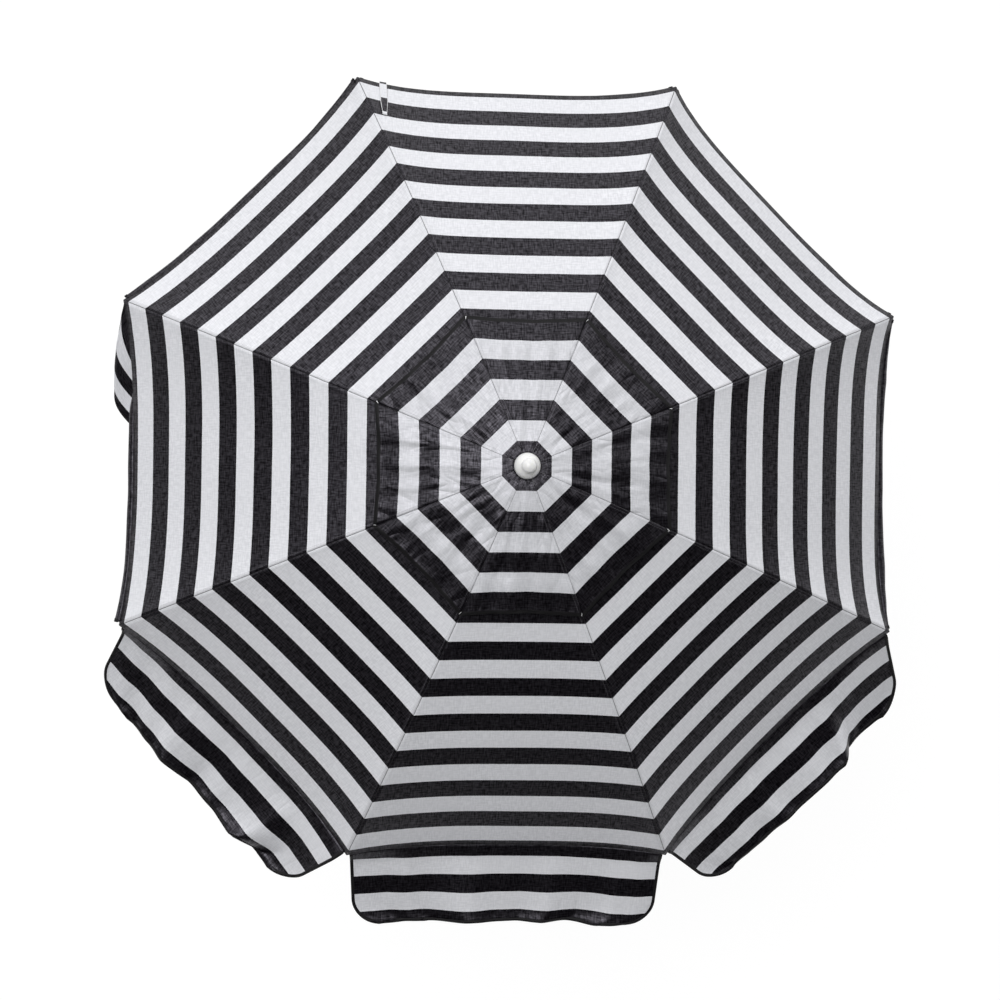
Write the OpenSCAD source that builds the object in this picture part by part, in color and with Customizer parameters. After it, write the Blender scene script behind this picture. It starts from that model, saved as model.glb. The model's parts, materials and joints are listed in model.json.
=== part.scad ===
// Beach umbrella: eight-gore striped canopy with a vent cap, folding ribs and stretchers,
// a tilting mast and a two-piece pole with a ground spike. Millimetres, Z along the pole.

/* [Canopy] */
// distance from the pole's axis to a rib tip, canopy open
canopy_r = 915; // [905:1:925]
// corner radius of the opening under the vent cap
vent_r = 270; // [260:1:280]
// corner radius of the vent cap
cap_r = 334; // [326:1:340]
// how far the cloth sags between two ribs at the rim
sag = 38; // [34:1:42]
// thickness of the cloth solids
cloth_t = 1.2; // [1.2:0.1:1.4]
// depth of the hanging flaps
flap_h = 186; // [178:1:192]
// angle below horizontal of the three flaps that stand out
flare = 22; // [18:1:26]

/* [Frame] */
// height of the rib pivots above the foot of the pole
crown_z = 1980; // [1970:1:1990]
// radius of the circle of rib pivots
pivot_r = 32; // [32:0.5:33]
// radius of a rib's wire
rib_r = 2.25; // [2.2:0.05:2.3]
// radius of a stretcher's wire
stretcher_r = 2; // [1.8:0.1:2.1]

/* [Pole] */
// outer radius of the lower pole
lower_r = 14; // [14:0.1:14.2]
// outer radius of the inner pole and of the mast
inner_r = 12.5; // [12.5:0.01:12.52]
// height of the lower pole
lower_h = 800; // [790:1:802]
// height of the tilt pin above the foot of the pole
tilt_z = 920; // [920:1:925]
// length of the ground spike below the pole
spike_h = 260; // [220:5:280]

/* [Hidden] */
$fn = 64;
half = 22.5;
slope_in = 8;
slope_out = 33;
rho = (canopy_r - pivot_r) / (sin(slope_out) - sin(slope_in));
arc_r0 = pivot_r - rho * sin(slope_in);
arc_z0 = crown_z - rho * cos(slope_in);
under = 4.3;
lug = 8;
corner = 58;
slope_j = 19.75;
joint = [arc_r0 + (rho - lug) * sin(slope_j), arc_z0 + (rho - lug) * cos(slope_j)];
reach = norm([joint[0] - pivot_r, crown_z - joint[1]]);
dip = asin((crown_z - joint[1]) / reach);
runner_z = crown_z - 2 * reach * sin(dip);
vent_slope = asin(sin(slope_in) + (vent_r - pivot_r) / rho);
catch_z = runner_z - 45;
screw_z = 828;
neck_h = 40;
neck_r = lower_r - 0.4;

// a point on the rib's arc at a slope, and off its centre line: [radius, height]
function arc_pt(a, off) = [arc_r0 + (rho + off) * sin(a), arc_z0 + (rho + off) * cos(a)];
function slope_at(r) = asin(sin(slope_in) + (r - pivot_r) / rho);
function hang(a) = sag * pow((a - vent_slope) / (slope_out - vent_slope), 1.5);
// a point on a gore in its own frame, X along the middle of the panel; v runs -1 to 1 across
function cloth(a, v, off) =
    let (p = arc_pt(a, off), d = hang(a) * (1 - v * v), k = 1 - 0.3 / (p[0] * sin(half)))
    [p[0] * cos(half) - d * sin(a), v * k * p[0] * sin(half), p[1] - d * cos(a)];

// a closed solid between two grids of points
module shell(top, bot) {
    n = len(top);
    m = len(top[0]);
    c = n * m;
    polyhedron(
        concat([for (r = top) each r], [for (r = bot) each r]),
        concat(
            [for (i = [0:n - 2], j = [0:m - 2]) each [[i * m + j, i * m + j + 1, (i + 1) * m + j + 1],
                [i * m + j, (i + 1) * m + j + 1, (i + 1) * m + j]]],
            [for (i = [0:n - 2], j = [0:m - 2]) each [[c + i * m + j, c + (i + 1) * m + j + 1, c + i * m + j + 1],
                [c + i * m + j, c + (i + 1) * m + j, c + (i + 1) * m + j + 1]]],
            [for (j = [0:m - 2]) each [[j, c + j + 1, j + 1], [j, c + j, c + j + 1]]],
            [for (j = [0:m - 2]) let (b = (n - 1) * m + j) each [[b, b + 1, c + b + 1], [b, c + b + 1, c + b]]],
            [for (i = [0:n - 2]) let (b = i * m) each [[b, b + m, c + b + m], [b, c + b + m, c + b]]],
            [for (i = [0:n - 2]) let (b = i * m + m - 1) each [[b, c + b + m, b + m], [b, c + b, c + b + m]]]
        ),
        convexity = 8
    );
}

// a closed ring between two grids whose rows close on themselves
module ring_shell(top, bot) {
    n = len(top);
    m = len(top[0]);
    c = n * m;
    polyhedron(
        concat([for (r = top) each r], [for (r = bot) each r]),
        concat(
            [for (i = [0:n - 2], j = [0:m - 1]) let (q = (j + 1) % m)
                each [[i * m + j, i * m + q, (i + 1) * m + q], [i * m + j, (i + 1) * m + q, (i + 1) * m + j]]],
            [for (i = [0:n - 2], j = [0:m - 1]) let (q = (j + 1) % m)
                each [[c + i * m + j, c + (i + 1) * m + q, c + i * m + q],
                    [c + i * m + j, c + (i + 1) * m + j, c + (i + 1) * m + q]]],
            [for (j = [0:m - 1]) let (q = (j + 1) % m) each [[j, c + q, q], [j, c + j, c + q]]],
            [for (j = [0:m - 1]) let (q = (j + 1) % m, b = (n - 1) * m)
                each [[b + j, b + q, c + b + q], [b + j, c + b + q, c + b + j]]]
        ),
        convexity = 8
    );
}

// a straight rod between two points of the radial plane
module rod(p, q, r) {
    d = q - p;
    translate([p[0], 0, p[1]]) rotate([0, atan2(d[0], d[1]), 0]) cylinder(h = norm(d), r = r);
}

// a short cylinder across the radial plane
module across(p, r, w) translate([p[0], w / 2, p[1]]) rotate([90, 0, 0]) cylinder(h = w, r = r);

module gore() {
    steps = [for (i = [0:10]) vent_slope + (slope_out - vent_slope) * i / 10];
    cols = [for (j = [0:10]) -1 + j / 5];
    shell([for (a = steps) [for (v = cols) cloth(a, v, under + cloth_t)]],
        [for (a = steps) [for (v = cols) cloth(a, v, under)]]);
}

// one flap: tip 90 hangs straight down, a smaller tip stands out; bulge pushes its middle outward
function flap_pt(v, w, tip, bulge, side) =
    let (p = cloth(slope_out, v, under + cloth_t), y0 = p[1] * 0.985,
        low = max(0, w * flap_h - (flap_h - corner)),
        inset = corner - sqrt(corner * corner - low * low) + 0.05 * w * flap_h,
        y = y0 * (1 - inset / (canopy_r * sin(half))),
        wave = 7 * pow(w, 1.2) * sin(810 * v + 40) + bulge * sin(180 * w) * (1 - v * v) + side)
    [p[0] + 0.6 + (0.6 + w * flap_h) * cos(tip) + wave * sin(tip), y,
        p[2] - (0.6 + w * flap_h) * sin(tip) + wave * cos(tip)];

module flap(tip, bulge) {
    rows = [0, 0.22, 0.45, 0.68, 0.8, 0.9, 0.96, 1];
    cols = [for (j = [0:24]) -1 + j / 12];
    o = tip == 90 ? 1.5 : 0;
    shell([for (w = rows) [for (v = cols) flap_pt(v, w, tip, bulge, o + cloth_t / 2)]],
        [for (w = rows) [for (v = cols) flap_pt(v, w, tip, bulge, o - cloth_t / 2)]]);
}

module rib() {
    stop = slope_at(canopy_r - 13);
    difference() {
        union() {
            translate([arc_r0, 0, arc_z0]) rotate([90, 0, 0]) rotate([0, 0, 90 - stop])
                rotate_extrude(angle = stop - slope_in) translate([rho, 0]) circle(r = rib_r);
            across([pivot_r, crown_z], 4.5, 4.4);
            translate([arc_r0, 0, arc_z0]) rotate([0, slope_j, 0]) translate([-4, -1.5, rho - lug])
                cube([8, 3, lug]);
            across(joint, 4, 3);
        }
        across([pivot_r, crown_z], 1.65, 10);
    }
    across(joint, 1.5, 9.4);
}

module rib_tip() {
    a = slope_at(canopy_r - 26);
    p = arc_pt(a, 0);
    translate([p[0], 0, p[1]]) rotate([0, 90 + a + 0.28, 0]) difference() {
        union() {
            cylinder(h = 20, r = 3.3);
            translate([0, 0, 20]) sphere(r = 3.3);
        }
        translate([0, 0, -1]) cylinder(h = 17, r = rib_r + 0.1);
    }
}

module stretcher() {
    d = [pivot_r, runner_z] - joint;
    u = d / norm(d);
    inner = [pivot_r, runner_z];
    rod(joint + 11 * u, inner, stretcher_r);
    across(inner, 3.4, 4);
    across(inner, 1.5, 9);
    translate([joint[0], 0, joint[1]]) rotate([0, atan2(u[0], u[1]), 0]) {
        translate([-3, -3.6, 6]) cube([6, 7.2, 6]);
        for (s = [-1, 1]) translate([0, s * 2.7, 0]) difference() {
            union() {
                rotate([90, 0, 0]) cylinder(h = 1.8, r = 4, center = true);
                translate([-3, -0.9, 0]) cube([6, 1.8, 8]);
            }
            rotate([90, 0, 0]) cylinder(h = 4, r = 1.58, center = true);
        }
    }
}

module tube(r, wall, h) difference() {
    cylinder(h = h, r = r);
    translate([0, 0, -1]) cylinder(h = h + 2, r = r - wall);
}

module ground_spike() color("#2b2b2d") {
    cylinder(h = 60, r = lower_r - 1.5);
    translate([0, 0, -5]) cylinder(h = 5, r = lower_r - 0.3);
    translate([0, 0, -spike_h]) cylinder(h = spike_h - 5, r1 = 1.6, r2 = 10.5);
    for (k = [0:3]) rotate([0, 0, 90 * k]) translate([0, 1.25, 0]) rotate([90, 0, 0]) linear_extrude(2.5)
        polygon([[0, -5], [lower_r - 1, -5], [lower_r - 1, -40], [2, -spike_h + 12], [0, -spike_h + 12]]);
}

// the pole's top is drawn down where the collar grips it
module lower_pole() color("#e9eaec") difference() {
    union() {
        cylinder(h = lower_h - neck_h, r = lower_r);
        cylinder(h = lower_h, r = neck_r);
    }
    translate([0, 0, -1]) cylinder(h = lower_h + 2, r = lower_r - 1.42);
}

module clamp_collar() color("#f1f1f2") difference() {
    union() {
        translate([0, 0, lower_h - 30]) cylinder(h = 82, r = 19);
        translate([0, 0, lower_h - 34]) cylinder(h = 8, r = 17.5);
        translate([14, 0, screw_z]) rotate([0, 90, 0]) cylinder(h = 17, r = 9);
    }
    translate([0, 0, lower_h - neck_h]) cylinder(h = neck_h + 0.2, r = neck_r + 0.05);
    translate([0, 0, lower_h]) cylinder(h = 60, r = inner_r + 0.1);
    translate([5, 0, screw_z]) rotate([0, 90, 0]) cylinder(h = 40, r = 4.06);
}

module clamp_knob() color("#2b2b2d") translate([0, 0, screw_z]) rotate([0, 90, 0]) {
    translate([0, 0, inner_r + 0.15]) cylinder(h = 22, r = 4);
    translate([0, 0, 31.3]) cylinder(h = 4, r = 8);
    translate([0, 0, 34]) difference() {
        cylinder(h = 13, r = 17);
        for (k = [0:5]) rotate([0, 0, 60 * k]) translate([20, 0, -1]) cylinder(h = 15, r = 7);
    }
}

module inner_pole() color("#e9eaec") translate([0, 0, 330]) tube(inner_r, 1.2, tilt_z - 30.5 - 330);

module tilt_fork() color("#f1f1f2") difference() {
    union() {
        translate([0, 0, tilt_z - 60]) cylinder(h = 38, r = 16.5);
        for (s = [-1, 1]) translate([s * 13.2, 0, tilt_z]) {
            rotate([0, 90, 0]) cylinder(h = 6, r = 13.5, center = true);
            translate([-3, -13.5 + 4.5, -30]) cube([6, 18, 30]);
        }
    }
    translate([0, 0, tilt_z - 61]) cylinder(h = 31, r = inner_r + 0.05);
    translate([-20, 0, tilt_z]) rotate([0, 90, 0]) cylinder(h = 40, r = 3.05);
}

module tilt_pin() color("#b9bcc0") translate([0, 0, tilt_z]) rotate([0, 90, 0]) {
    cylinder(h = 38, r = 3, center = true);
    for (s = [-1, 1]) translate([0, 0, s * 17.6]) cylinder(h = 2.6, r = 5.5, center = true);
}

module tilt_knuckle() color("#f1f1f2") difference() {
    union() {
        translate([0, 0, tilt_z]) rotate([0, 90, 0]) cylinder(h = 20, r = 14, center = true);
        translate([-10, -12, tilt_z]) cube([20, 24, 24]);
        translate([0, 0, tilt_z + 22]) cylinder(h = 55, r = 16.5);
    }
    translate([0, 0, tilt_z + 45]) cylinder(h = 40, r = inner_r + 0.05);
    translate([-20, 0, tilt_z]) rotate([0, 90, 0]) cylinder(h = 40, r = 3.05);
    translate([0, -2, tilt_z + 33]) rotate([90, 0, 0]) cylinder(h = 30, r = 6.05);
}

module tilt_button() color("#2b2b2d") translate([0, -11.5, tilt_z + 33]) rotate([90, 0, 0]) {
    cylinder(h = 8, r = 6);
    translate([0, 0, 8]) cylinder(h = 1, r1 = 6, r2 = 5);
}

// a close-wound spring drawn as a thin sleeve of its own outer size
module coil(h, r) difference() {
    cylinder(h = h, r = r);
    translate([0, 0, -1]) cylinder(h = h + 2, r = r - 0.7);
}

module tilt_spring() color("#b9bcc0") translate([0, -2.2, tilt_z + 33]) rotate([90, 0, 0]) coil(9.1, 4);

module mast() color("#e9eaec") difference() {
    translate([0, 0, tilt_z + 45.5]) tube(inner_r, 1.2, crown_z + 3.5 - tilt_z - 45.5);
    translate([0, 0, catch_z]) rotate([90, 0, 0]) cylinder(h = 20, r = 4.1);
}

module crown() color("#f1f1f2") difference() {
    union() {
        translate([0, 0, crown_z - 13]) cylinder(h = 27, r = 40);
        translate([0, 0, crown_z - 26]) cylinder(h = 14, r = 18);
    }
    translate([0, 0, crown_z - 30]) cylinder(h = 34, r = inner_r + 0.05);
    cylinder(h = crown_z + 30, r = 3.06);
    translate([0, 0, crown_z]) rotate_extrude() translate([pivot_r, 0]) circle(r = 1.6);
    for (k = [0:7]) rotate([0, 0, half + 45 * k]) translate([24, -2.7, crown_z - 20]) cube([20, 5.4, 25.4]);
}

module crown_ring() color("#b9bcc0") translate([0, 0, crown_z])
    rotate_extrude() translate([pivot_r, 0]) circle(r = 1.5);

module finial() color("#f6f6f4") translate([0, 0, crown_z + 14.1]) difference() {
    rotate_extrude() polygon(concat([[0, 0], [10, 0], [10, 2.4], [23, 2.4], [25.2, 4.5], [26.7, 8.5], [26.7, 13]],
        [for (t = [8:8:56]) [26.7 * cos(t), 13 + 26 * sin(t)]],
        [[13.4, 39], [12, 43], [11.6, 47], [12.4, 50], [14, 53], [14.4, 56.5], [13.2, 60.5], [10.4, 63.6],
            [6, 65.6], [0, 66.4]]));
    translate([0, 0, -1]) cylinder(h = 19, r = 3.06);
}

module finial_screw() color("#b9bcc0") {
    translate([0, 0, crown_z - 4]) cylinder(h = 33, r = 3);
    translate([0, 0, crown_z - 8]) cylinder(h = 4, r = 7);
}

module vent_cap() color("#26242a") {
    rings = [[14, 14.5], [46, 14.5], [110, 4], [180, -9.5], [250, -25], [cap_r, -45.5]];
    top = [for (p = rings) [for (j = [0:31]) let (s = (j % 4) / 4, a = half + 45 * floor(j / 4),
        x = p[0] * (cos(a) + s * (cos(a + 45) - cos(a))), y = p[0] * (sin(a) + s * (sin(a + 45) - sin(a))))
        [x, y, crown_z + p[1] + cloth_t]]];
    ring_shell(top, [for (r = top) [for (q = r) [q[0], q[1], q[2] - cloth_t]]]);
}

module runner() color("#f1f1f2") difference() {
    union() {
        translate([0, 0, runner_z - 5]) cylinder(h = 14, r = 38.5);
        translate([0, 0, runner_z - 60]) cylinder(h = 69, r = 18.5);
        translate([0, 0, runner_z - 62]) cylinder(h = 9, r = 22);
    }
    translate([0, 0, runner_z - 70]) cylinder(h = 100, r = inner_r + 0.1);
    translate([-5, -17, runner_z - 70]) cube([10, 17, 100]);
    translate([0, 0, runner_z]) rotate_extrude() translate([30.1, -6]) square([4.1, 7.8]);
    for (k = [0:7]) rotate([0, 0, half + 45 * k]) translate([26, -2.7, runner_z - 10]) cube([20, 5.4, 30]);
}

module catch_button() color("#b9bcc0") translate([0, 0, catch_z]) rotate([90, 0, 0]) {
    translate([0, 0, 9]) cylinder(h = 7.2, r = 4);
    translate([0, 0, 7.6]) cylinder(h = 2.2, r = 5.2);
}

module catch_spring() color("#b9bcc0") translate([0, -7.5, catch_z]) rotate([-90, 0, 0]) coil(18, 3.6);

module tie_strap() color("#26242a") rotate([0, 0, 90]) {
    steps = [for (i = [0:6]) slope_out - 2.9 * (1 - i / 6)];
    w = canopy_r * sin(half);
    cols = [for (j = [0:2]) (w - 58 + 11 * (j - 1))];
    shell([for (a = steps) [for (y = cols) cloth(a, y / (arc_pt(a, 0)[0] * sin(half)), under + cloth_t + 2)]],
        [for (a = steps) [for (y = cols) cloth(a, y / (arc_pt(a, 0)[0] * sin(half)), under + cloth_t + 0.8)]]);
}

module at_rib(k) rotate([0, 0, half + 45 * (k - 1)]) children();
module at_gore(k) rotate([0, 0, 45 * (k - 1)]) children();

ground_spike();
lower_pole();
clamp_collar();
clamp_knob();
inner_pole();
tilt_fork();
tilt_pin();
tilt_knuckle();
tilt_button();
tilt_spring();
mast();
crown();
crown_ring();
finial();
finial_screw();
vent_cap();
runner();
catch_button();
catch_spring();
tie_strap();
at_rib(1) color("#2e3033") rib();  // rib_1
at_rib(2) color("#2e3033") rib();  // rib_2
at_rib(3) color("#2e3033") rib();  // rib_3
at_rib(4) color("#2e3033") rib();  // rib_4
at_rib(5) color("#2e3033") rib();  // rib_5
at_rib(6) color("#2e3033") rib();  // rib_6
at_rib(7) color("#2e3033") rib();  // rib_7
at_rib(8) color("#2e3033") rib();  // rib_8
at_rib(1) color("#f1f1f2") rib_tip();  // rib_tip_1
at_rib(2) color("#f1f1f2") rib_tip();  // rib_tip_2
at_rib(3) color("#f1f1f2") rib_tip();  // rib_tip_3
at_rib(4) color("#f1f1f2") rib_tip();  // rib_tip_4
at_rib(5) color("#f1f1f2") rib_tip();  // rib_tip_5
at_rib(6) color("#f1f1f2") rib_tip();  // rib_tip_6
at_rib(7) color("#f1f1f2") rib_tip();  // rib_tip_7
at_rib(8) color("#f1f1f2") rib_tip();  // rib_tip_8
at_rib(1) color("#2e3033") stretcher();  // stretcher_1
at_rib(2) color("#2e3033") stretcher();  // stretcher_2
at_rib(3) color("#2e3033") stretcher();  // stretcher_3
at_rib(4) color("#2e3033") stretcher();  // stretcher_4
at_rib(5) color("#2e3033") stretcher();  // stretcher_5
at_rib(6) color("#2e3033") stretcher();  // stretcher_6
at_rib(7) color("#2e3033") stretcher();  // stretcher_7
at_rib(8) color("#2e3033") stretcher();  // stretcher_8
at_gore(1) color("#e6e7ea") gore();  // gore_1
at_gore(2) color("#26242a") gore();  // gore_2
at_gore(3) color("#e6e7ea") gore();  // gore_3
at_gore(4) color("#26242a") gore();  // gore_4
at_gore(5) color("#e6e7ea") gore();  // gore_5
at_gore(6) color("#26242a") gore();  // gore_6
at_gore(7) color("#e6e7ea") gore();  // gore_7
at_gore(8) color("#26242a") gore();  // gore_8
at_gore(1) color("#26242a") flap(90, 0);  // valance_1
at_gore(2) color("#e6e7ea") flap(90, 0);  // valance_2
at_gore(3) color("#26242a") flap(90, 0);  // valance_3
at_gore(4) color("#e6e7ea") flap(90, 8);  // valance_4
at_gore(5) color("#26242a") flap(90, 16);  // valance_5
at_gore(6) color("#e6e7ea") flap(flare, 0);  // valance_6
at_gore(7) color("#26242a") flap(flare, 0);  // valance_7
at_gore(8) color("#e6e7ea") flap(flare, 0);  // valance_8
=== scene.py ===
"""Beach umbrella with an eight-panel striped canopy, a vent cap and hanging flaps.

Metres throughout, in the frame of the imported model: Z runs up the pole.
"""

import json
from math import asin, cos, degrees, exp, hypot, pi, radians, sin, sqrt

import bmesh
import bpy
from mathutils import Matrix, Vector, noise


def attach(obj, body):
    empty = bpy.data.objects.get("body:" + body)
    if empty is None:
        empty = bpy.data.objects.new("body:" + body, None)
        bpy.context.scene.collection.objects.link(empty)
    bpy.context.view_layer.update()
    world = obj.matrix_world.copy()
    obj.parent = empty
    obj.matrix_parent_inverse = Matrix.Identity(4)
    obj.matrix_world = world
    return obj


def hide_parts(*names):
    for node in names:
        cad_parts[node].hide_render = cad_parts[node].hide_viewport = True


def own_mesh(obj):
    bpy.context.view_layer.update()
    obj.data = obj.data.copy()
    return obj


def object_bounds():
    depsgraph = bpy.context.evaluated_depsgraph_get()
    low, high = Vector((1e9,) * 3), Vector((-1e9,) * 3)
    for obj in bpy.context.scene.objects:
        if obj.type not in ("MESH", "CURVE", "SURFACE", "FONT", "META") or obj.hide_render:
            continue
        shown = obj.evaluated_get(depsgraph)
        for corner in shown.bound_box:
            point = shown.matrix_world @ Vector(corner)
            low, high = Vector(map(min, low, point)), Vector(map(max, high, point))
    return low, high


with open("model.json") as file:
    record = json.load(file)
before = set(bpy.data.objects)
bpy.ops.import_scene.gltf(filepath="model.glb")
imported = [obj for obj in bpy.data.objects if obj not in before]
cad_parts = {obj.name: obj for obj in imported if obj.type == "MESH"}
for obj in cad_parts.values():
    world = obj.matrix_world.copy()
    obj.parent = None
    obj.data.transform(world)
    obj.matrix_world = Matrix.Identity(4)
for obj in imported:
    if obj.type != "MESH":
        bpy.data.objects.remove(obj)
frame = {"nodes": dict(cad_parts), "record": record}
cad_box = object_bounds()
scene = bpy.context.scene
record = frame["record"]
joints = {j["name"]: j for j in record["behaviour"]["joints"]}
slots = {part["node"]: part["material_slot"] for part in record["subparts"]}

# ---------------------------------------------------------------- sizes, from the frame

PANELS = 8
HALF = radians(180 / PANELS)
rib_pin = Vector(joints["rib_1_fold"]["pos_m"])
rim_mid = Vector(joints["valance_1_fold"]["pos_m"])
CROWN_Z = rib_pin.z
PIN_R = hypot(rib_pin.x, rib_pin.y)
RIM_R = hypot(rim_mid.x, rim_mid.y) / cos(HALF)
SLOPE_IN, SLOPE_OUT = 8.0, 33.0      # the ribs' slope at the crown and at the rim, degrees
CLOTH_TOP = 0.0055                   # top of the cloth above a rib's centre line
CLOTH_MID = 0.0049
CLOTH = 0.0009                       # thickness of the woven cloth


def sind(a):
    return sin(radians(a))


def cosd(a):
    return cos(radians(a))


ARC = (RIM_R - PIN_R - CLOTH_TOP * sind(SLOPE_OUT)) / (sind(SLOPE_OUT) - sind(SLOPE_IN))
ARC_R0 = PIN_R - ARC * sind(SLOPE_IN)
ARC_Z0 = CROWN_Z - ARC * cosd(SLOPE_IN)
VENT_R = 0.270                       # corner radius of the opening under the cap
CAP_R = 0.334                        # corner radius of the cap
VENT_SLOPE = degrees(asin(sind(SLOPE_IN) + (VENT_R - PIN_R) / ARC))
# sag of each panel between its ribs at the rim; the nearer ones are sewn a little tighter
SAG = {1: 0.039, 2: 0.038, 3: 0.038, 4: 0.036, 5: 0.041, 6: 0.040, 7: 0.034, 8: 0.033}
STRIPE = 0.0434                      # width of one woven stripe
RIM_BAND = 0.014                     # black left between the last white stripe and the rim
FIRST_EDGE = 32.58                   # the slope at the outer edge of the last white stripe, degrees
STRIPE_TURN = 1.291                  # how many degrees the rib turns over one stripe, at the rim
STRIPE_TIGHTER = 0.0043              # half of how much that falls with each stripe
FLAP = 0.186                         # depth of a flap
BINDING = 0.006                      # width of the tape that shows round a flap
TAPE = 0.0024                        # thickness over the two layers of tape and the cloth between them


def smooth(t):
    t = min(1.0, max(0.0, t))
    return t * t * (3 - 2 * t)


def through(points, x):
    """A smooth line through (x, y) points, read at x."""
    if x <= points[0][0]:
        return points[0][1]
    for (x0, y0), (x1, y1) in zip(points, points[1:]):
        if x <= x1:
            share = (x - x0) / (x1 - x0)
            return y0 + (y1 - y0) * (smooth(share) + share) / 2
    return points[-1][1]


def on_panel(k, slope, v, off):
    """A point of panel k in its own frame, X along its middle; v runs -1 to 1 between its ribs."""
    radius = ARC_R0 + (ARC + off) * sind(slope)
    height = ARC_Z0 + (ARC + off) * cosd(slope)
    flat = 4.0 if k <= 3 else 2.9
    share = max(0.0, (slope - VENT_SLOPE) / (SLOPE_OUT - VENT_SLOPE)) ** 1.5
    hang = SAG[k] * share * (1 - abs(v) ** flat)
    half_width = radius * sin(HALF) - 0.00025
    return Vector((radius * cos(HALF) - hang * sind(slope), v * half_width, height - hang * cosd(slope)))


def stripe_place(slope):
    """How far up the woven pattern a slope is, in metres from the first white edge."""
    lead = STRIPE_TURN ** 2 - 4 * STRIPE_TIGHTER * (FIRST_EDGE - slope)
    return STRIPE * (STRIPE_TURN - sqrt(max(0.0, lead))) / (2 * STRIPE_TIGHTER)


# ---------------------------------------------------------------- camera

camera = bpy.data.objects.new("camera", bpy.data.cameras.new("camera"))
scene.collection.objects.link(camera)
camera.data.lens = 72.52
camera.data.sensor_width = 36
camera.data.clip_end = 100
camera.location = (-0.3810, -0.0713, 6.0545)
camera.rotation_euler = (radians(-0.04), radians(-4.61), radians(0.78))
scene.camera = camera
scene.view_settings.view_transform = "Standard"

# ---------------------------------------------------------------- materials


def linear(code):
    """An sRGB hex colour as linear RGBA."""
    parts = [int(code[i:i + 2], 16) / 255 for i in (1, 3, 5)]
    return [c / 12.92 if c <= 0.04045 else ((c + 0.055) / 1.055) ** 2.4 for c in parts] + [1.0]


def add_node(tree, kind, inputs=None, **settings):
    """Adds a shader node with its settings, and sets or links its inputs."""
    made = tree.nodes.new("ShaderNode" + kind)
    for key, value in settings.items():
        setattr(made, key, value)
    for key, value in (inputs or {}).items():
        if isinstance(value, bpy.types.NodeSocket):
            tree.links.new(value, made.inputs[key])
        else:
            made.inputs[key].default_value = value
    return made


def new_finish(name, **sockets):
    """A material with its Principled shader; sockets are its fixed values."""
    made = bpy.data.materials.new(name)
    made.use_nodes = True
    shader = made.node_tree.nodes["Principled BSDF"]
    for key, value in sockets.items():
        shader.inputs[key.replace("_", " ")].default_value = value
    return made, made.node_tree, shader


def mixed(tree, share, a, b, blend="MIX"):
    """Colour a to colour b by share."""
    return add_node(tree, "Mix", {0: share, 6: a, 7: b}, data_type="RGBA", blend_type=blend).outputs[2]


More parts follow.
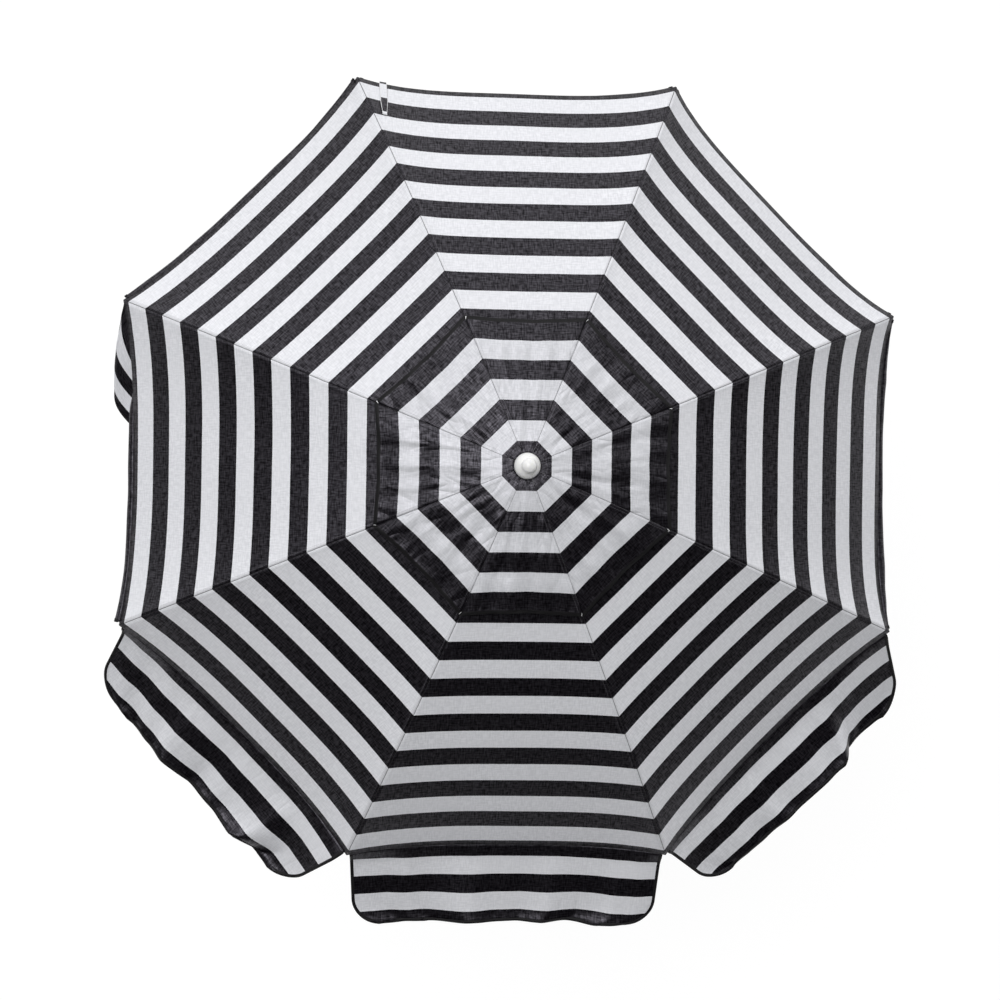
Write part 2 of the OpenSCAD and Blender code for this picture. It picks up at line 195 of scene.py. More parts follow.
def striped_cloth(name, creases, whites):
    """Yarn-dyed woven polyester, black and white stripes, with faint slubs. creases is how deep it is creased,
    whites the white yarn in its hollows, on its tops and in its broad patches: a random heather grain, with
    painted shade in the hollows and painted light on the tops."""
    made, tree, shader = new_finish(name, Roughness=0.42, IOR=1.5, Specular_Tint=(0.92, 0.88, 1.0, 1.0))
    pattern = add_node(tree, "UVMap", uv_map="stripes").outputs[0]
    edges = add_node(tree, "UVMap", uv_map="edges").outputs[0]
    place = add_node(tree, "SeparateXYZ", {0: pattern})
    # yarns shift by about 0.5 mm at a colour change
    jitter = add_node(tree, "TexNoise", {"Vector": pattern, "Scale": 700.0, "Detail": 1.0})
    shift = add_node(tree, "Math", {0: jitter.outputs["Fac"], 1: 0.0011}, operation="MULTIPLY")
    along = add_node(tree, "Math", {0: place.outputs["Y"], 1: shift.outputs[0]}, operation="ADD")
    count = add_node(tree, "Math", {0: along.outputs[0], 1: STRIPE}, operation="DIVIDE")
    whole = add_node(tree, "Math", {0: count.outputs[0]}, operation="FLOOR")
    odd = add_node(tree, "Math", {0: whole.outputs[0], 1: 2.0}, operation="FLOORED_MODULO")
    # slubs: yarns thicken over 15 to 40 mm of their length; drawn 3 mm apart so that they show
    stretch = add_node(tree, "Mapping", {"Vector": pattern, "Scale": (60.0, 330.0, 1.0)})
    slubs = add_node(tree, "TexNoise", {"Vector": stretch.outputs[0], "Scale": 1.0, "Detail": 3.0})
    cross = add_node(tree, "Mapping", {"Vector": pattern, "Scale": (330.0, 60.0, 1.0)})
    wefts = add_node(tree, "TexNoise", {"Vector": cross.outputs[0], "Scale": 1.0, "Detail": 3.0})
    heather = add_node(tree, "Math", {0: slubs.outputs["Fac"], 1: wefts.outputs["Fac"]}, operation="MULTIPLY")
    # a random heather grain, partly painted: painted shade where the yarn dips, painted light where it lies on
    # top
    heather_and_weave_shade = add_node(tree, "MapRange", {0: heather.outputs[0], 1: 0.16, 2: 0.36})
    # handling and sun leave soft patches some 200 mm wide
    patches = add_node(tree, "TexNoise", {"Vector": pattern, "Scale": 5.0, "Detail": 2.0})
    # white yarn: painted shade in its hollows, painted light on its tops, over its random grain
    pale = mixed(tree, heather_and_weave_shade.outputs[0], linear(whites[0]), linear(whites[1]))
    pale = mixed(tree, patches.outputs["Fac"], pale, linear(whites[2]))
    # black yarn: painted shade in its hollows, painted light on its tops, over its random grain
    dark = mixed(tree, heather_and_weave_shade.outputs[0], linear("#030203"), linear("#120F15"))
    dark = mixed(tree, patches.outputs["Fac"], dark, linear("#070509"))
    # filament yarn glints where it lies on top and not where it dips under
    glint = add_node(tree, "MapRange", {0: heather.outputs[0], 1: 0.14, 2: 0.38, 3: 0.15, 4: 1.0})
    tree.links.new(glint.outputs[0], shader.inputs["Specular IOR Level"])
    colour = mixed(tree, odd.outputs[0], pale, dark)
    # the felled side seam: a line of stitches 7 mm from the edge, 3 mm each
    rim = add_node(tree, "SeparateXYZ", {0: edges})
    row = add_node(tree, "Math", {0: rim.outputs["X"], 1: 0.0070}, operation="SUBTRACT")
    near = add_node(tree, "Math", {0: row.outputs[0]}, operation="ABSOLUTE")
    line = add_node(tree, "Math", {0: near.outputs[0], 1: 0.0006}, operation="LESS_THAN")
    beat = add_node(tree, "Math", {0: place.outputs["Y"], 1: 0.0042}, operation="FLOORED_MODULO")
    dash = add_node(tree, "Math", {0: beat.outputs[0], 1: 0.0030}, operation="LESS_THAN")
    one_side = add_node(tree, "Math", {0: place.outputs["X"], 1: 0.0}, operation="GREATER_THAN")
    sewn = add_node(tree, "Math", {0: line.outputs[0], 1: dash.outputs[0]}, operation="MULTIPLY")
    stitch = add_node(tree, "Math", {0: sewn.outputs[0], 1: one_side.outputs[0]}, operation="MULTIPLY")
    tint = add_node(tree, "Math", {0: stitch.outputs[0], 1: 0.22}, operation="MULTIPLY")
    colour = mixed(tree, tint.outputs[0], colour, linear("#8B8A90"))
    # painted shadow: a thin dark line along the fold at the very edge, where the seam's shade falls
    seam_shadow = add_node(tree, "MapRange", {0: rim.outputs["X"], 1: 0.0002, 2: 0.0013, 3: 0.22, 4: 0.0})
    colour = mixed(tree, seam_shadow.outputs[0], colour, linear("#3A383D"))
    tree.links.new(colour, shader.inputs["Base Color"])
    # plain weave, drawn 1.6 mm apart so that it shows; the real yarns are 0.35 mm apart
    weave = add_node(tree, "Mapping", {"Vector": pattern, "Scale": (2 * pi / 0.0016, 2 * pi / 0.0016, 1.0)})
    yarn = add_node(tree, "SeparateXYZ", {0: weave.outputs[0]})
    over = add_node(tree, "Math", {0: yarn.outputs["X"]}, operation="SINE")
    under = add_node(tree, "Math", {0: yarn.outputs["Y"]}, operation="SINE")
    mesh = add_node(tree, "Math", {0: over.outputs[0], 1: under.outputs[0]}, operation="MULTIPLY")
    felled = add_node(tree, "MapRange", {0: rim.outputs["X"], 1: 0.0085, 2: 0.0105, 3: 1.0, 4: 0.0})
    relief = add_node(tree, "Math", {0: mesh.outputs[0], 1: 0.12, 2: felled.outputs[0]},
                      operation="MULTIPLY_ADD")
    relief = add_node(tree, "Math", {0: slubs.outputs["Fac"], 1: 0.35, 2: relief.outputs[0]},
                      operation="MULTIPLY_ADD")
    relief = add_node(tree, "Math", {0: stitch.outputs[0], 1: -0.5, 2: relief.outputs[0]},
                      operation="MULTIPLY_ADD")
    # creases left by folding: 30 to 60 mm apart, and three times as long, from the crown towards the rim
    lengthwise = add_node(tree, "Mapping", {"Vector": pattern, "Scale": (24.0, 7.0, 1.0)})
    field = add_node(tree, "TexNoise", {"Vector": lengthwise.outputs[0], "Scale": 1.0, "Detail": 1.5,
                                        "Distortion": 0.5})
    off_middle = add_node(tree, "Math", {0: field.outputs["Fac"], 1: 0.5}, operation="SUBTRACT")
    ridge = add_node(tree, "Math", {0: off_middle.outputs[0]}, operation="ABSOLUTE")
    folds = add_node(tree, "Bump", {"Height": ridge.outputs[0], "Strength": 1.0, "Distance": creases})
    bump = add_node(tree, "Bump", {"Height": relief.outputs[0], "Strength": 0.6, "Distance": 0.0005,
                                   "Normal": folds.outputs[0]})
    tree.links.new(bump.outputs[0], shader.inputs["Normal"])
    return made


def binding_tape():
    """Black polyester twill tape, folded over the edge: fine slanting ribs, dull with a slight sheen."""
    made, tree, shader = new_finish("polyester_twill_tape_black", Roughness=0.6, IOR=1.5, Sheen_Weight=0.02,
                                    Sheen_Roughness=0.5, Specular_IOR_Level=0.3)
    pattern = add_node(tree, "UVMap", uv_map="stripes").outputs[0]
    turned = add_node(tree, "Mapping", {"Vector": pattern, "Rotation": (0, 0, radians(45))})
    # twill ribs, drawn 1.2 mm apart; the real ones are 0.5 mm apart
    ribs = add_node(tree, "TexWave", {"Vector": turned.outputs[0], "Scale": 2 * pi / (20 * 0.0012),
                                      "Distortion": 0.4})
    wear = add_node(tree, "TexNoise", {"Vector": pattern, "Scale": 60.0, "Detail": 3.0})
    share = add_node(tree, "Math", {0: ribs.outputs["Fac"], 1: wear.outputs["Fac"]}, operation="MULTIPLY")
    tree.links.new(mixed(tree, share.outputs[0], linear("#060507"), linear("#151317")),
                   shader.inputs["Base Color"])
    bump = add_node(tree, "Bump", {"Height": ribs.outputs["Fac"], "Strength": 0.5, "Distance": 0.0003})
    tree.links.new(bump.outputs[0], shader.inputs["Normal"])
    return made


def sewing_thread():
    """Spun polyester thread, white: two plies twisted together."""
    made, tree, shader = new_finish("spun_polyester_thread_white", Roughness=0.7, IOR=1.5)
    where = add_node(tree, "TexCoord").outputs["Object"]
    plies = add_node(tree, "TexNoise", {"Vector": where, "Scale": 900.0, "Detail": 2.0})
    tree.links.new(mixed(tree, plies.outputs["Fac"], linear("#C9C9CC"), linear("#F4F4F5")),
                   shader.inputs["Base Color"])
    bump = add_node(tree, "Bump", {"Height": plies.outputs["Fac"], "Strength": 0.4, "Distance": 0.0002})
    tree.links.new(bump.outputs[0], shader.inputs["Normal"])
    return made


def coated_finish(name, base, worn, grit, rough, depth, **sockets):
    """A coat or a moulding: grit is the size of its texture in metres, rough its roughness from and to."""
    made, tree, shader = new_finish(name, **sockets)
    where = add_node(tree, "TexCoord").outputs["Object"]
    fine = add_node(tree, "TexNoise", {"Vector": where, "Scale": 1 / grit, "Detail": 2.0})
    broad = add_node(tree, "TexNoise", {"Vector": where, "Scale": 9.0, "Detail": 4.0, "Roughness": 0.6})
    scuffs = add_node(tree, "Mapping", {"Vector": where, "Scale": (60.0, 60.0, 700.0)})
    marks = add_node(tree, "TexNoise", {"Vector": scuffs.outputs[0], "Scale": 1.0, "Detail": 2.0})
    faint = add_node(tree, "MapRange", {0: marks.outputs["Fac"], 1: 0.60, 2: 0.72, 3: 0.0, 4: 0.35})
    tone = mixed(tree, broad.outputs["Fac"], linear(base), linear(worn))
    tree.links.new(mixed(tree, faint.outputs[0], tone, linear(worn)), shader.inputs["Base Color"])
    span = add_node(tree, "MapRange", {0: broad.outputs["Fac"], 1: 0.3, 2: 0.7, 3: rough[0], 4: rough[1]})
    rougher = add_node(tree, "Math", {0: faint.outputs[0], 1: 0.3, 2: span.outputs[0]},
                       operation="MULTIPLY_ADD")
    tree.links.new(rougher.outputs[0], shader.inputs["Roughness"])
    bump = add_node(tree, "Bump", {"Height": fine.outputs["Fac"], "Strength": 0.35, "Distance": depth})
    tree.links.new(bump.outputs[0], shader.inputs["Normal"])
    return made


def bare_metal(name, base, dull, rough, lay):
    """Metal with the fine lines of its making: lay is how much finer they are along X, Y and Z."""
    made, tree, shader = new_finish(name, Metallic=1.0)
    where = add_node(tree, "TexCoord").outputs["Object"]
    drawn = add_node(tree, "Mapping", {"Vector": where, "Scale": lay})
    lines = add_node(tree, "TexNoise", {"Vector": drawn.outputs[0], "Scale": 1.0, "Detail": 3.0})
    bloom = add_node(tree, "TexVoronoi", {"Vector": where, "Scale": 1 / 0.004})
    share = add_node(tree, "Math", {0: lines.outputs["Fac"], 1: bloom.outputs["Distance"]},
                     operation="MULTIPLY")
    tree.links.new(mixed(tree, share.outputs[0], linear(base), linear(dull)), shader.inputs["Base Color"])
    span = add_node(tree, "MapRange", {0: lines.outputs["Fac"], 1: 0.3, 2: 0.7, 3: rough[0], 4: rough[1]})
    tree.links.new(span.outputs[0], shader.inputs["Roughness"])
    bump = add_node(tree, "Bump", {"Height": lines.outputs["Fac"], "Strength": 0.2, "Distance": 0.0001})
    tree.links.new(bump.outputs[0], shader.inputs["Normal"])
    return made


cloth_finish = striped_cloth("woven_polyester_striped_taut", 0.0008, ("#D6D7DC", "#F3F4F8", "#E4E5E9"))
flap_finish = striped_cloth("woven_polyester_striped_hung", 0.0052, ("#D6D7DC", "#F3F4F8", "#E4E5E9"))
# painted shade: the cap's whites are darker than the canopy's
cap_finish = striped_cloth("woven_polyester_striped_creased", 0.0130, ("#C9CACF", "#E6E7EB", "#D6D7DB"))
tape_finish = binding_tape()
thread_finish = sewing_thread()
finishes = {
    # polyester powder on steel tube: satin white with a fine orange peel 1.5 mm across
    "white_pole": coated_finish("powder_coated_steel_white", "#E9EAEC", "#D6D7D9", 0.0015, (0.34, 0.46),
                                0.0002, IOR=1.5, Coat_Weight=0.15, Coat_Roughness=0.3),
    # injection-moulded polypropylene: slightly waxy white, spark-eroded grain 0.8 mm
    "white_plastic": coated_finish("moulded_polypropylene_white", "#EFEFEE", "#DEDEDC", 0.0008, (0.42, 0.54),
                                   0.00015, IOR=1.49, Subsurface_Weight=0.06,
                                   Subsurface_Radius=(0.004, 0.004, 0.003), Subsurface_Scale=0.4),
    # the same plastic from a polished mould: smooth, with broad soft highlights
    "finial_plastic": coated_finish("polished_moulded_polypropylene_white", "#F4F4F3", "#E6E6E5", 0.003,
                                    (0.26, 0.36), 0.0001, IOR=1.49, Subsurface_Weight=0.06,
                                    Subsurface_Radius=(0.004, 0.004, 0.003), Subsurface_Scale=0.4),
    # glass-filled nylon, moulded: black, matt, 0.6 mm grain
    "black_plastic": coated_finish("glass_filled_nylon_black", "#1C1C1E", "#2B2B2D", 0.0006, (0.48, 0.62),
                                   0.0002, IOR=1.53),
    # dip-coated spring steel wire: black enamel, worn a little greyer
    "rib_steel": coated_finish("enamelled_spring_steel_black", "#1B1C1E", "#333538", 0.0012, (0.32, 0.45),
                               0.00008, IOR=1.5, Coat_Weight=0.2, Coat_Roughness=0.25),
    # zinc-plated and clear passivated: bluish grey with small crystal bloom
    "plated_steel": bare_metal("zinc_plated_steel", "#C4C7CC", "#A9ADB3", (0.26, 0.40), (900.0, 900.0, 60.0)),
    # hard-drawn wire: draw lines along its length
    "spring_steel": bare_metal("drawn_spring_steel", "#A6A8AC", "#86888C", (0.24, 0.36),
                               (700.0, 700.0, 700.0)),
}
for node_name, thing in frame["nodes"].items():
    finish = finishes.get(slots[node_name], cloth_finish)
    thing.data.materials.clear()
    thing.data.materials.append(finish)

# ---------------------------------------------------------------- cloth


def cloth_piece(across, along, lay, marks):
    """A sheet on a grid of across by along values. lay gives a point, marks its place in the stripes and its
    distances from the edges."""
    columns, rows = len(across) - 1, len(along) - 1
    bm = bmesh.new()
    bmesh.ops.create_grid(bm, x_segments=columns, y_segments=rows, size=1)
    stripes = bm.loops.layers.uv.new("stripes")
    edges = bm.loops.layers.uv.new("edges")
    cell = {}
    for vert in bm.verts:
        cell[vert] = (round((vert.co.x + 1) / 2 * columns), round((vert.co.y + 1) / 2 * rows))
    for face in bm.faces:
        for loop in face.loops:
            i, j = cell[loop.vert]
            loop[stripes].uv, loop[edges].uv = marks(across[i], along[j])
        face.smooth = True
    for vert, (i, j) in cell.items():
        vert.co = lay(across[i], along[j])
    bmesh.ops.reverse_faces(bm, faces=bm.faces)
    return bm


def finish_piece(name, bm, finishes_used, thickness=0.0, edge=0):
    """Turns a bmesh into a piece; thickness makes a sheet solid, edge picks the finish of its rim."""
    mesh = bpy.data.meshes.new(name)
    bm.to_mesh(mesh)
    bm.free()
    made = bpy.data.objects.new(name, mesh)
    scene.collection.objects.link(made)
    for finish in finishes_used:
        mesh.materials.append(finish)
    if thickness:
        wall = made.modifiers.new("cloth", "SOLIDIFY")
        wall.thickness = thickness
        wall.offset = 0
        wall.material_offset_rim = edge
    return made


def turned(k):
    """The turn that takes panel k's own frame into place."""
    return Matrix.Rotation(2 * HALF * (k - 1), 4, "Z")


def spread(count, start=-1.0, end=1.0):
    return [start + (end - start) * i / count for i in range(count + 1)]


def panel_point(k, v, slope, off):
    """A point of a main panel: taut on the ribs, sagging between them, with drag lines from the rib tips."""
    t = (slope - VENT_SLOPE) / (SLOPE_OUT - VENT_SLOPE)
    free = (1 - v * v) ** 0.7
    soft = noise.noise(Vector((v * 1.6 + 7 * k, t * 2.2, 0.3))) * 0.0022
    drag = sin(38 * (abs(v) * 1.1 - (1 - t) * 0.9)) * exp(-((1 - abs(v)) ** 2 + (1 - t) ** 2) / 0.05) * 0.0012
    pucker = sin(t * 96 + 2 * k) * exp(-(1 - abs(v)) / 0.035) * (1 - abs(v)) * 0.012
    lift = free * (soft + drag) + pucker * 0.6
    return turned(k) @ (on_panel(k, slope, v, off) + lift * Vector((sind(slope), 0, cosd(slope))))


def panel(k):
    """One main panel; its cut edges take the black tape finish, which paints a thin line of shade along its
    seams.
    """
    def lay(v, slope):
        return panel_point(k, v, slope, CLOTH_MID)

    def marks(v, slope):
        wide = (ARC_R0 + ARC * sind(slope)) * sin(HALF)
        return (v * wide, stripe_place(slope)), (wide * (1 - abs(v)), (SLOPE_OUT - slope) * ARC * pi / 180)

    bm = cloth_piece(spread(60), spread(52, VENT_SLOPE, SLOPE_OUT), lay, marks)
    # painted shade: the cloth's cut edges take the black tape finish, a dark line along the seams
    made = finish_piece(f"canopy_panel_{k}", bm, [cloth_finish, tape_finish], CLOTH, 1)
    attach(made, f"gore_{k}")
    squash_with_panel(made)
    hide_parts(f"gore_{k}")
    return made


def squash_with_panel(made):
    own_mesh(made)


# how steeply each outer flap leaves the rim, and how it then stands, from end to end, in degrees below level
LEAVES = {
    6: [(-1, 76), (-0.8, 58), (-0.5, 38), (0, 36), (0.4, 33), (0.65, 39), (0.8, 30), (1, 20)],
    7: [(-1, 62), (-0.8, 46), (-0.6, 30), (0, 26), (0.4, 25), (0.7, 22), (0.85, 30), (1, 48)],
    8: [(-1, 64), (-0.8, 50), (-0.6, 37), (0, 33), (0.3, 30), (0.5, 22), (0.65, 31), (0.8, 41), (1, 42)],
}
STANDS = {
    6: [(-1, 34), (-0.8, 28), (-0.5, 25), (-0.3, 15), (0, 24), (0.3, 22), (0.55, 13), (0.8, 34), (1, 38)],
    7: [(-1, 17), (-0.6, 20), (-0.3, 10), (0.1, 16), (0.3, 11), (0.5, 21), (0.75, 14), (1, 20)],
    8: [(-1, 28), (-0.6, 22), (-0.3, 14), (0.1, 12), (0.35, 12), (0.5, 31), (0.7, 33), (1, 34)],
}
# the length of the bend that each hanging flap makes from the rim to straight down, from end to end
BENDS = {
    1: [(-1, 0.003), (-0.8, 0.020), (-0.6, 0.036), (-0.3, 0.027), (0.3, 0.022), (0.6, 0.029), (0.8, 0.016),
        (1, 0.003)],
    2: [(-1, 0.002), (-0.7, 0.005), (-0.5, 0.007), (-0.1, 0.003), (0.4, 0.002), (1, 0.001)],
    3: [(-1, 0.002), (-0.7, 0.005), (-0.4, 0.002), (0, 0.001), (1, 0.001)],
    4: [(-1, 0.009), (-0.6, 0.008), (-0.2, 0.013), (0.8, 0.013), (1, 0.009)],
    5: [(-1, 0.020), (0.4, 0.022), (0.7, 0.016), (1, 0.020)],
}
# how much each end of a flap draws in per metre of its depth
DRAWN_IN = {6: (0.25, 0.15), 7: (0.05, 0.06), 8: (0.12, 0.35)}
CORNER = 0.058                       # corner radius of a flap
SIDE = on_panel(1, SLOPE_OUT, 1, CLOTH_MID).y


def fall(k, v, depth):
    """How far out and down a flap has come at this depth below the rim, and its slope there."""
    x = z = 0.0
    slope = SLOPE_OUT
    steps = max(1, int(round(depth / 0.0016)))
    for i in range(steps):
        at = (i + 0.5) / steps * depth
        if k in STANDS:
            first = through(LEAVES[k], v)
            slope = first + (through(STANDS[k], v) - first) * smooth((at - 0.020) / 0.026)
            slope -= 14 * smooth((at - 0.150) / 0.030)
        else:
            slope = 15 + 75 * smooth(at / through(BENDS[k], v))
        x += depth / steps * cosd(slope)
        z -= depth / steps * sind(slope)
    return (x, z, slope) if depth > 0 else (0.0, 0.0, SLOPE_OUT)


def half_width(k, v, depth):
    """Half the flap's width at this depth, on the side of v."""
    low = max(0.0, depth - (FLAP - CORNER))
    taper = DRAWN_IN.get(k, (0.06, 0.06))[0 if v < 0 else 1]
    return SIDE * 0.980 - (CORNER - sqrt(max(0.0, CORNER ** 2 - low ** 2))) - taper * depth


def flap_point(k, v, depth):
    """A point of a flap in its panel's frame."""
    start = on_panel(k, SLOPE_OUT, v, CLOTH_MID)
    x, z, slope = fall(k, v, depth)
    y = v * half_width(k, v, depth)
    phase = 1.7 * k
    ripple = (0.6 * sin(2 * pi * 2.6 * v + phase) + 0.4 * sin(2 * pi * 1.7 * v - 1.3 * phase)
              + 0.25 * sin(2 * pi * 4.3 * v + 2.2 * phase))
    out = 0.0042 * ripple * (depth / FLAP) ** 0.9 * (1 - 0.6 * abs(v) ** 6)
    tucked = -0.0030 * (1 - smooth(depth / 0.010))
    point = Vector((start.x + tucked + x + out * sind(slope), y,
                    start.z + 0.3 * tucked + z + out * cosd(slope)))
    return dragged(point, start, v, depth) if k == 5 else point


def dragged(point, start, v, depth):
    """The upper end of this flap is pulled along the rim and folds out beside it."""
    from_end = (v + 1) * SIDE
    if from_end > 0.26:
        return point
    bulge = through([(0, 0), (0.031, 0.013), (0.074, 0.026), (0.118, 0.031), (0.161, 0.033), (0.2, 0.033)],
                    depth)
    shape = cos(min(1.25, abs(from_end - 0.040) / 0.060) * pi / 2)
    if shape < 0:
        shape *= smooth((0.26 - from_end) / 0.06)
    pull = 0.9 * smooth((0.26 - from_end) / 0.15)
    laid = Vector((start.x - 0.002 + bulge * shape, start.y * 0.985 + pull * depth,
                   start.z - 0.0012 - 0.40 * depth))
    return point.lerp(laid, smooth((0.26 - from_end) / 0.11))


def flap(k):
    """One flap: it drops from the rim, or stands out from it, in soft ripples."""
    turn = turned(k)
    rows = [0, 0.006, 0.014] + [0.022 + (FLAP - 0.022) * i / 20 for i in range(21)]
    columns = spread(110)

    def lay(v, depth):
        return turn @ flap_point(k, v, depth)

    def marks(v, depth):
        return (v * half_width(k, v, depth), -(RIM_BAND + depth)), (0.03, FLAP - depth)

    bm = cloth_piece(columns, rows, lay, marks)
    made = finish_piece(f"flap_{k}", bm, [flap_finish], CLOTH)
    tape = flap_tape(k)
    for piece in (made, tape):
        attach(piece, f"valance_{k}")
        squash_with_panel(piece)
    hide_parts(f"valance_{k}")
    return made


def flap_tape(k):
    """The tape folded over a flap's two ends and its lower edge."""
    turn = turned(k)
    outline = []
    straight = FLAP - CORNER
    for i in range(22):
        outline.append((-1, 0.004 + (straight - 0.004) * i / 22, pi))
    for i in range(14):
        outline.append((-1, straight + CORNER * sin(pi / 2 * i / 14), pi / 2 + pi / 2 * (1 - i / 14)))
    for i in range(91):
        outline.append((-0.999 + 1.998 * i / 90, FLAP, pi / 2))
    for i in range(13, -1, -1):
        outline.append((1, straight + CORNER * sin(pi / 2 * i / 14), pi / 2 * i / 14))
    for i in range(21, -1, -1):
        outline.append((1, 0.004 + (straight - 0.004) * i / 22, 0))

    def lay(along, inward):
        v, depth, facing = outline[int(along)]
        edge = v * half_width(k, v, depth)
        deep = max(0.0, depth - inward * sin(facing))
        flat = edge - inward * cos(facing)
        share = flat / half_width(k, v, deep)
        return turn @ flap_point(k, max(-1.003, min(1.003, share)), deep)

    def marks(along, inward):
        return (along * 0.006, inward), (inward, inward)

    bm = cloth_piece(list(range(len(outline))), [-0.0008, BINDING / 2, BINDING], lay, marks)
    return finish_piece(f"flap_tape_{k}", bm, [tape_finish], TAPE)


# radius and height above the pins of the cap's upper side
CAP_LINE = [(0.014, 0.0151), (0.046, 0.0149), (0.075, 0.0106), (0.110, 0.0042), (0.180, -0.0095),
            (0.250, -0.0252), (CAP_R, -0.0458)]
CAP_STRIPE = 0.0420                  # width of a stripe on the cap, seen from above
CAP_FIRST = 0.051                    # how far from the pole the cap's first white stripe begins
CAP_INNER = 0.0245                   # the cap panels end under the finial
CAP_CENTRE = (0.0120, 0.0240)        # inner and outer radius of the cap's middle
CAP_HEM = 0.0085                     # depth of the tape round the cap


def cap_height(radius):
    return CROWN_Z + through(CAP_LINE, radius) + 0.0006


def cap_panel(k):
    """One panel of the vent cap: loose between its seams, its corners sewn down to the canopy."""
    turn = turned(k)

    def lay(v, radius):
        t = (radius - CAP_INNER) / (CAP_R - CAP_INNER)
        height = cap_height(radius)
        folds = sin(7.1 * v + 1.3 * k) * 0.6 + sin(12 * v - 2.1 * k) * 0.4
        loose = 0.0030 * folds * smooth(t * 1.15) * (1 - v * v) ** 0.6
        crown = 0.0035 * sin(pi * min(1.0, t)) * (1 - v * v)
        wavy = noise.noise(Vector((v * 2.3 + 11 * k, t * 3.1, 0.7)))
        wavy *= 0.0044 * smooth(t * 3) * (1 - v * v) ** 0.5
        corner = -0.0085 * abs(v) ** 7 * t ** 4
        height += loose + crown + wavy + corner
        side = radius * sin(HALF)
        inward = 0.0065 * t ** 3 * (1 - v * v) * (1 + 0.12 * sin(9 * v + k))
        return turn @ Vector((radius * cos(HALF) - inward, v * (side - 0.0002), height))

    def marks(v, radius):
        inner = radius * cos(HALF)
        return ((v * radius * sin(HALF), STRIPE * (inner - CAP_FIRST) / CAP_STRIPE),
                ((1 - abs(v)) * radius * sin(HALF), (CAP_R - radius) * cos(HALF)))

    rows = spread(40, CAP_INNER, CAP_R - CAP_HEM) + [CAP_R]
    bm = cloth_piece(spread(48), rows, lay, marks)
    hem = bm.loops.layers.uv["edges"]
    for face in bm.faces:
        if max(loop[hem].uv.y for loop in face.loops) < CAP_HEM:
            face.material_index = 1
    tack(bm, turn)
    made = finish_piece(f"cap_panel_{k}", bm, [cap_finish, tape_finish, thread_finish], CLOTH)
    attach(made, f"gore_{k}")
    squash_with_panel(made)
    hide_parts("vent_cap")
    return made


def tack(bm, turn):
    """Three short stitches that hold the cap's corner down."""
    corner = Vector((CAP_R * cos(HALF), CAP_R * sin(HALF) - 0.004, cap_height(CAP_R) - 0.0070))
    for i in range(3):
        shaped = bmesh.ops.create_cone(bm, cap_ends=True, cap_tris=False, segments=8, radius1=0.0007,
                                       radius2=0.0007, depth=0.008)
        verts = shaped["verts"]
        bmesh.ops.rotate(bm, verts=verts, cent=(0, 0, 0), matrix=Matrix.Rotation(radians(90), 3, "Y"))
        bmesh.ops.translate(bm, verts=verts, vec=corner + Vector((-0.006, -0.0022 * i, 0.0004)))
        for vert in verts:
            vert.co = turn @ vert.co
        for face in {f for vert in verts for f in vert.link_faces}:
            face.material_index = 2
            face.smooth = True


def cap_centre():
    """The small round middle of the cap, gripped between the crown and the finial."""
    bm = bmesh.new()
    bmesh.ops.create_grid(bm, x_segments=96, y_segments=6, size=1)
    stripes = bm.loops.layers.uv.new("stripes")
    edges = bm.loops.layers.uv.new("edges")
    for vert in bm.verts:
        turn = (vert.co.x + 1) * pi
        radius = CAP_CENTRE[0] + (CAP_CENTRE[1] - CAP_CENTRE[0]) * (vert.co.y + 1) / 2
        vert.co = (radius * cos(turn), radius * sin(turn), cap_height(radius))
    bmesh.ops.remove_doubles(bm, verts=bm.verts, dist=0.00002)
    for face in bm.faces:
        face.smooth = True
        for loop in face.loops:
            radius = hypot(loop.vert.co.x, loop.vert.co.y)
            loop[stripes].uv = (loop.vert.co.x, STRIPE * (radius - CAP_FIRST) / CAP_STRIPE)
            loop[edges].uv = (0.05, 0.05)
    bmesh.ops.recalc_face_normals(bm, faces=bm.faces)
    if sum(face.normal.z for face in bm.faces) < 0:
        bmesh.ops.reverse_faces(bm, faces=bm.faces)
    made = finish_piece("cap_centre", bm, [cap_finish], CLOTH)
    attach(made, "mast_assembly")
    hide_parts("vent_cap")
    return made


def tie_strap():
    """A short strap of the same cloth, sewn on beside a rib near the rim; it ties the closed canopy."""
    width, length = 0.016, 0.114
    middle = RIM_R * sin(HALF) - 0.058

    def lay(across, down):
        slope = SLOPE_OUT - degrees((length - down) / ARC) + 0.07
        wide = (ARC_R0 + ARC * sind(slope)) * sin(HALF)
        y = middle + across * width / 2 * (0.62 + 0.38 * smooth(down / 0.05)) - 0.004 * (1 - down / length)
        lift = 0.0020 + 0.0006 * sin(down * 75) + 0.0004 * across * across
        return panel_point(3, y / wide, slope, CLOTH_TOP + lift)

    def marks(across, down):
        slope = SLOPE_OUT - degrees((length - down) / ARC)
        return ((across * width / 2, stripe_place(slope) + 0.0075), (0.02, 0.02))

    bm = cloth_piece([-1, -0.87, -0.6, -0.3, 0, 0.3, 0.6, 0.87, 1], spread(28, 0, length), lay, marks)
    for face in bm.faces:
        if abs(sum(loop[bm.loops.layers.uv["stripes"]].uv.x for loop in face.loops) / 4) > 0.87 * width / 2:
            face.material_index = 1
    made = finish_piece("tie_strap_cloth", bm, [cloth_finish, thread_finish], 0.0012)
    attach(made, "gore_3")
    squash_with_panel(made)
    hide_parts("tie_strap")
    return made


for k in range(1, PANELS + 1):
    panel(k)
for k in range(1, PANELS + 1):
    flap(k)
for k in range(1, PANELS + 1):
    cap_panel(k)
cap_centre()
tie_strap()

# ---------------------------------------------------------------- floor, light

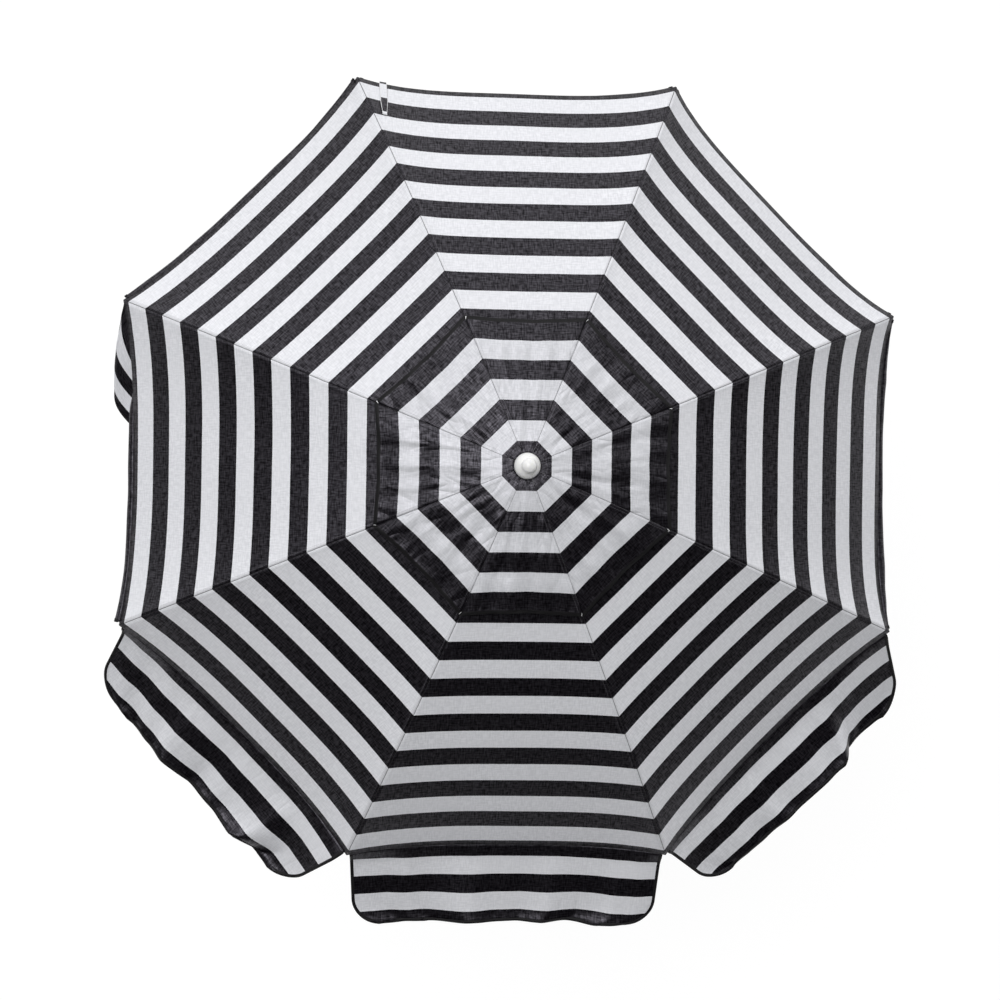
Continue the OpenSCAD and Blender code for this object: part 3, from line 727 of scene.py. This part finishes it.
floor_bm = bmesh.new()
bmesh.ops.create_grid(floor_bm, x_segments=4, y_segments=4, size=120)
bmesh.ops.translate(floor_bm, verts=floor_bm.verts, vec=(0, 0, cad_box[0][2] - 0.002))
floor_finish, floor_tree, floor_shader = new_finish("painted_studio_floor", Roughness=0.9, IOR=1.45,
                                                    Specular_IOR_Level=0.1)
floor_where = add_node(floor_tree, "TexCoord").outputs["Object"]
floor_tone = add_node(floor_tree, "TexNoise", {"Vector": floor_where, "Scale": 0.6, "Detail": 2.0})
floor_tree.links.new(mixed(floor_tree, floor_tone.outputs["Fac"], linear("#6A6A6A"), linear("#707070")),
                     floor_shader.inputs["Base Color"])
floor_shader.inputs["Emission Color"].default_value = (1, 1, 1, 1)
floor_shader.inputs["Emission Strength"].default_value = 0.92
floor = finish_piece("floor", floor_bm, [floor_finish])

world = bpy.data.worlds.new("studio")
scene.world = world
world.use_nodes = True
# a bright wall on the +Y side, a dark ceiling on the other, and pale below eye level
backdrop = world.node_tree
looking = add_node(backdrop, "SeparateXYZ", {0: add_node(backdrop, "TexCoord").outputs["Generated"]})
wall = add_node(backdrop, "MapRange", {0: looking.outputs["Y"], 1: -0.2, 2: 0.9, 3: 0.0, 4: 1.25},
                interpolation_type="SMOOTHSTEP")
band = add_node(backdrop, "MapRange", {0: looking.outputs["Z"], 1: 0.0, 2: 0.10, 3: 0.80, 4: 0.0},
                interpolation_type="SMOOTHSTEP")
glow = add_node(backdrop, "Math", {0: wall.outputs[0], 1: band.outputs[0]}, operation="MAXIMUM")
backdrop.links.new(glow.outputs[0], backdrop.nodes["Background"].inputs["Strength"])
backdrop.nodes["Background"].inputs["Color"].default_value = (1.0, 1.0, 1.0, 1)

key = bpy.data.objects.new("key_light", bpy.data.lights.new("key_light", "AREA"))
scene.collection.objects.link(key)
key.data.shape = "DISK"
key.data.size = 3.0
key.data.energy = 266
key.location = (-1.5, 0.8, 8.6)
key.rotation_euler = (Vector((0, 0, 1.6)) - key.location).to_track_quat("-Z", "Y").to_euler()
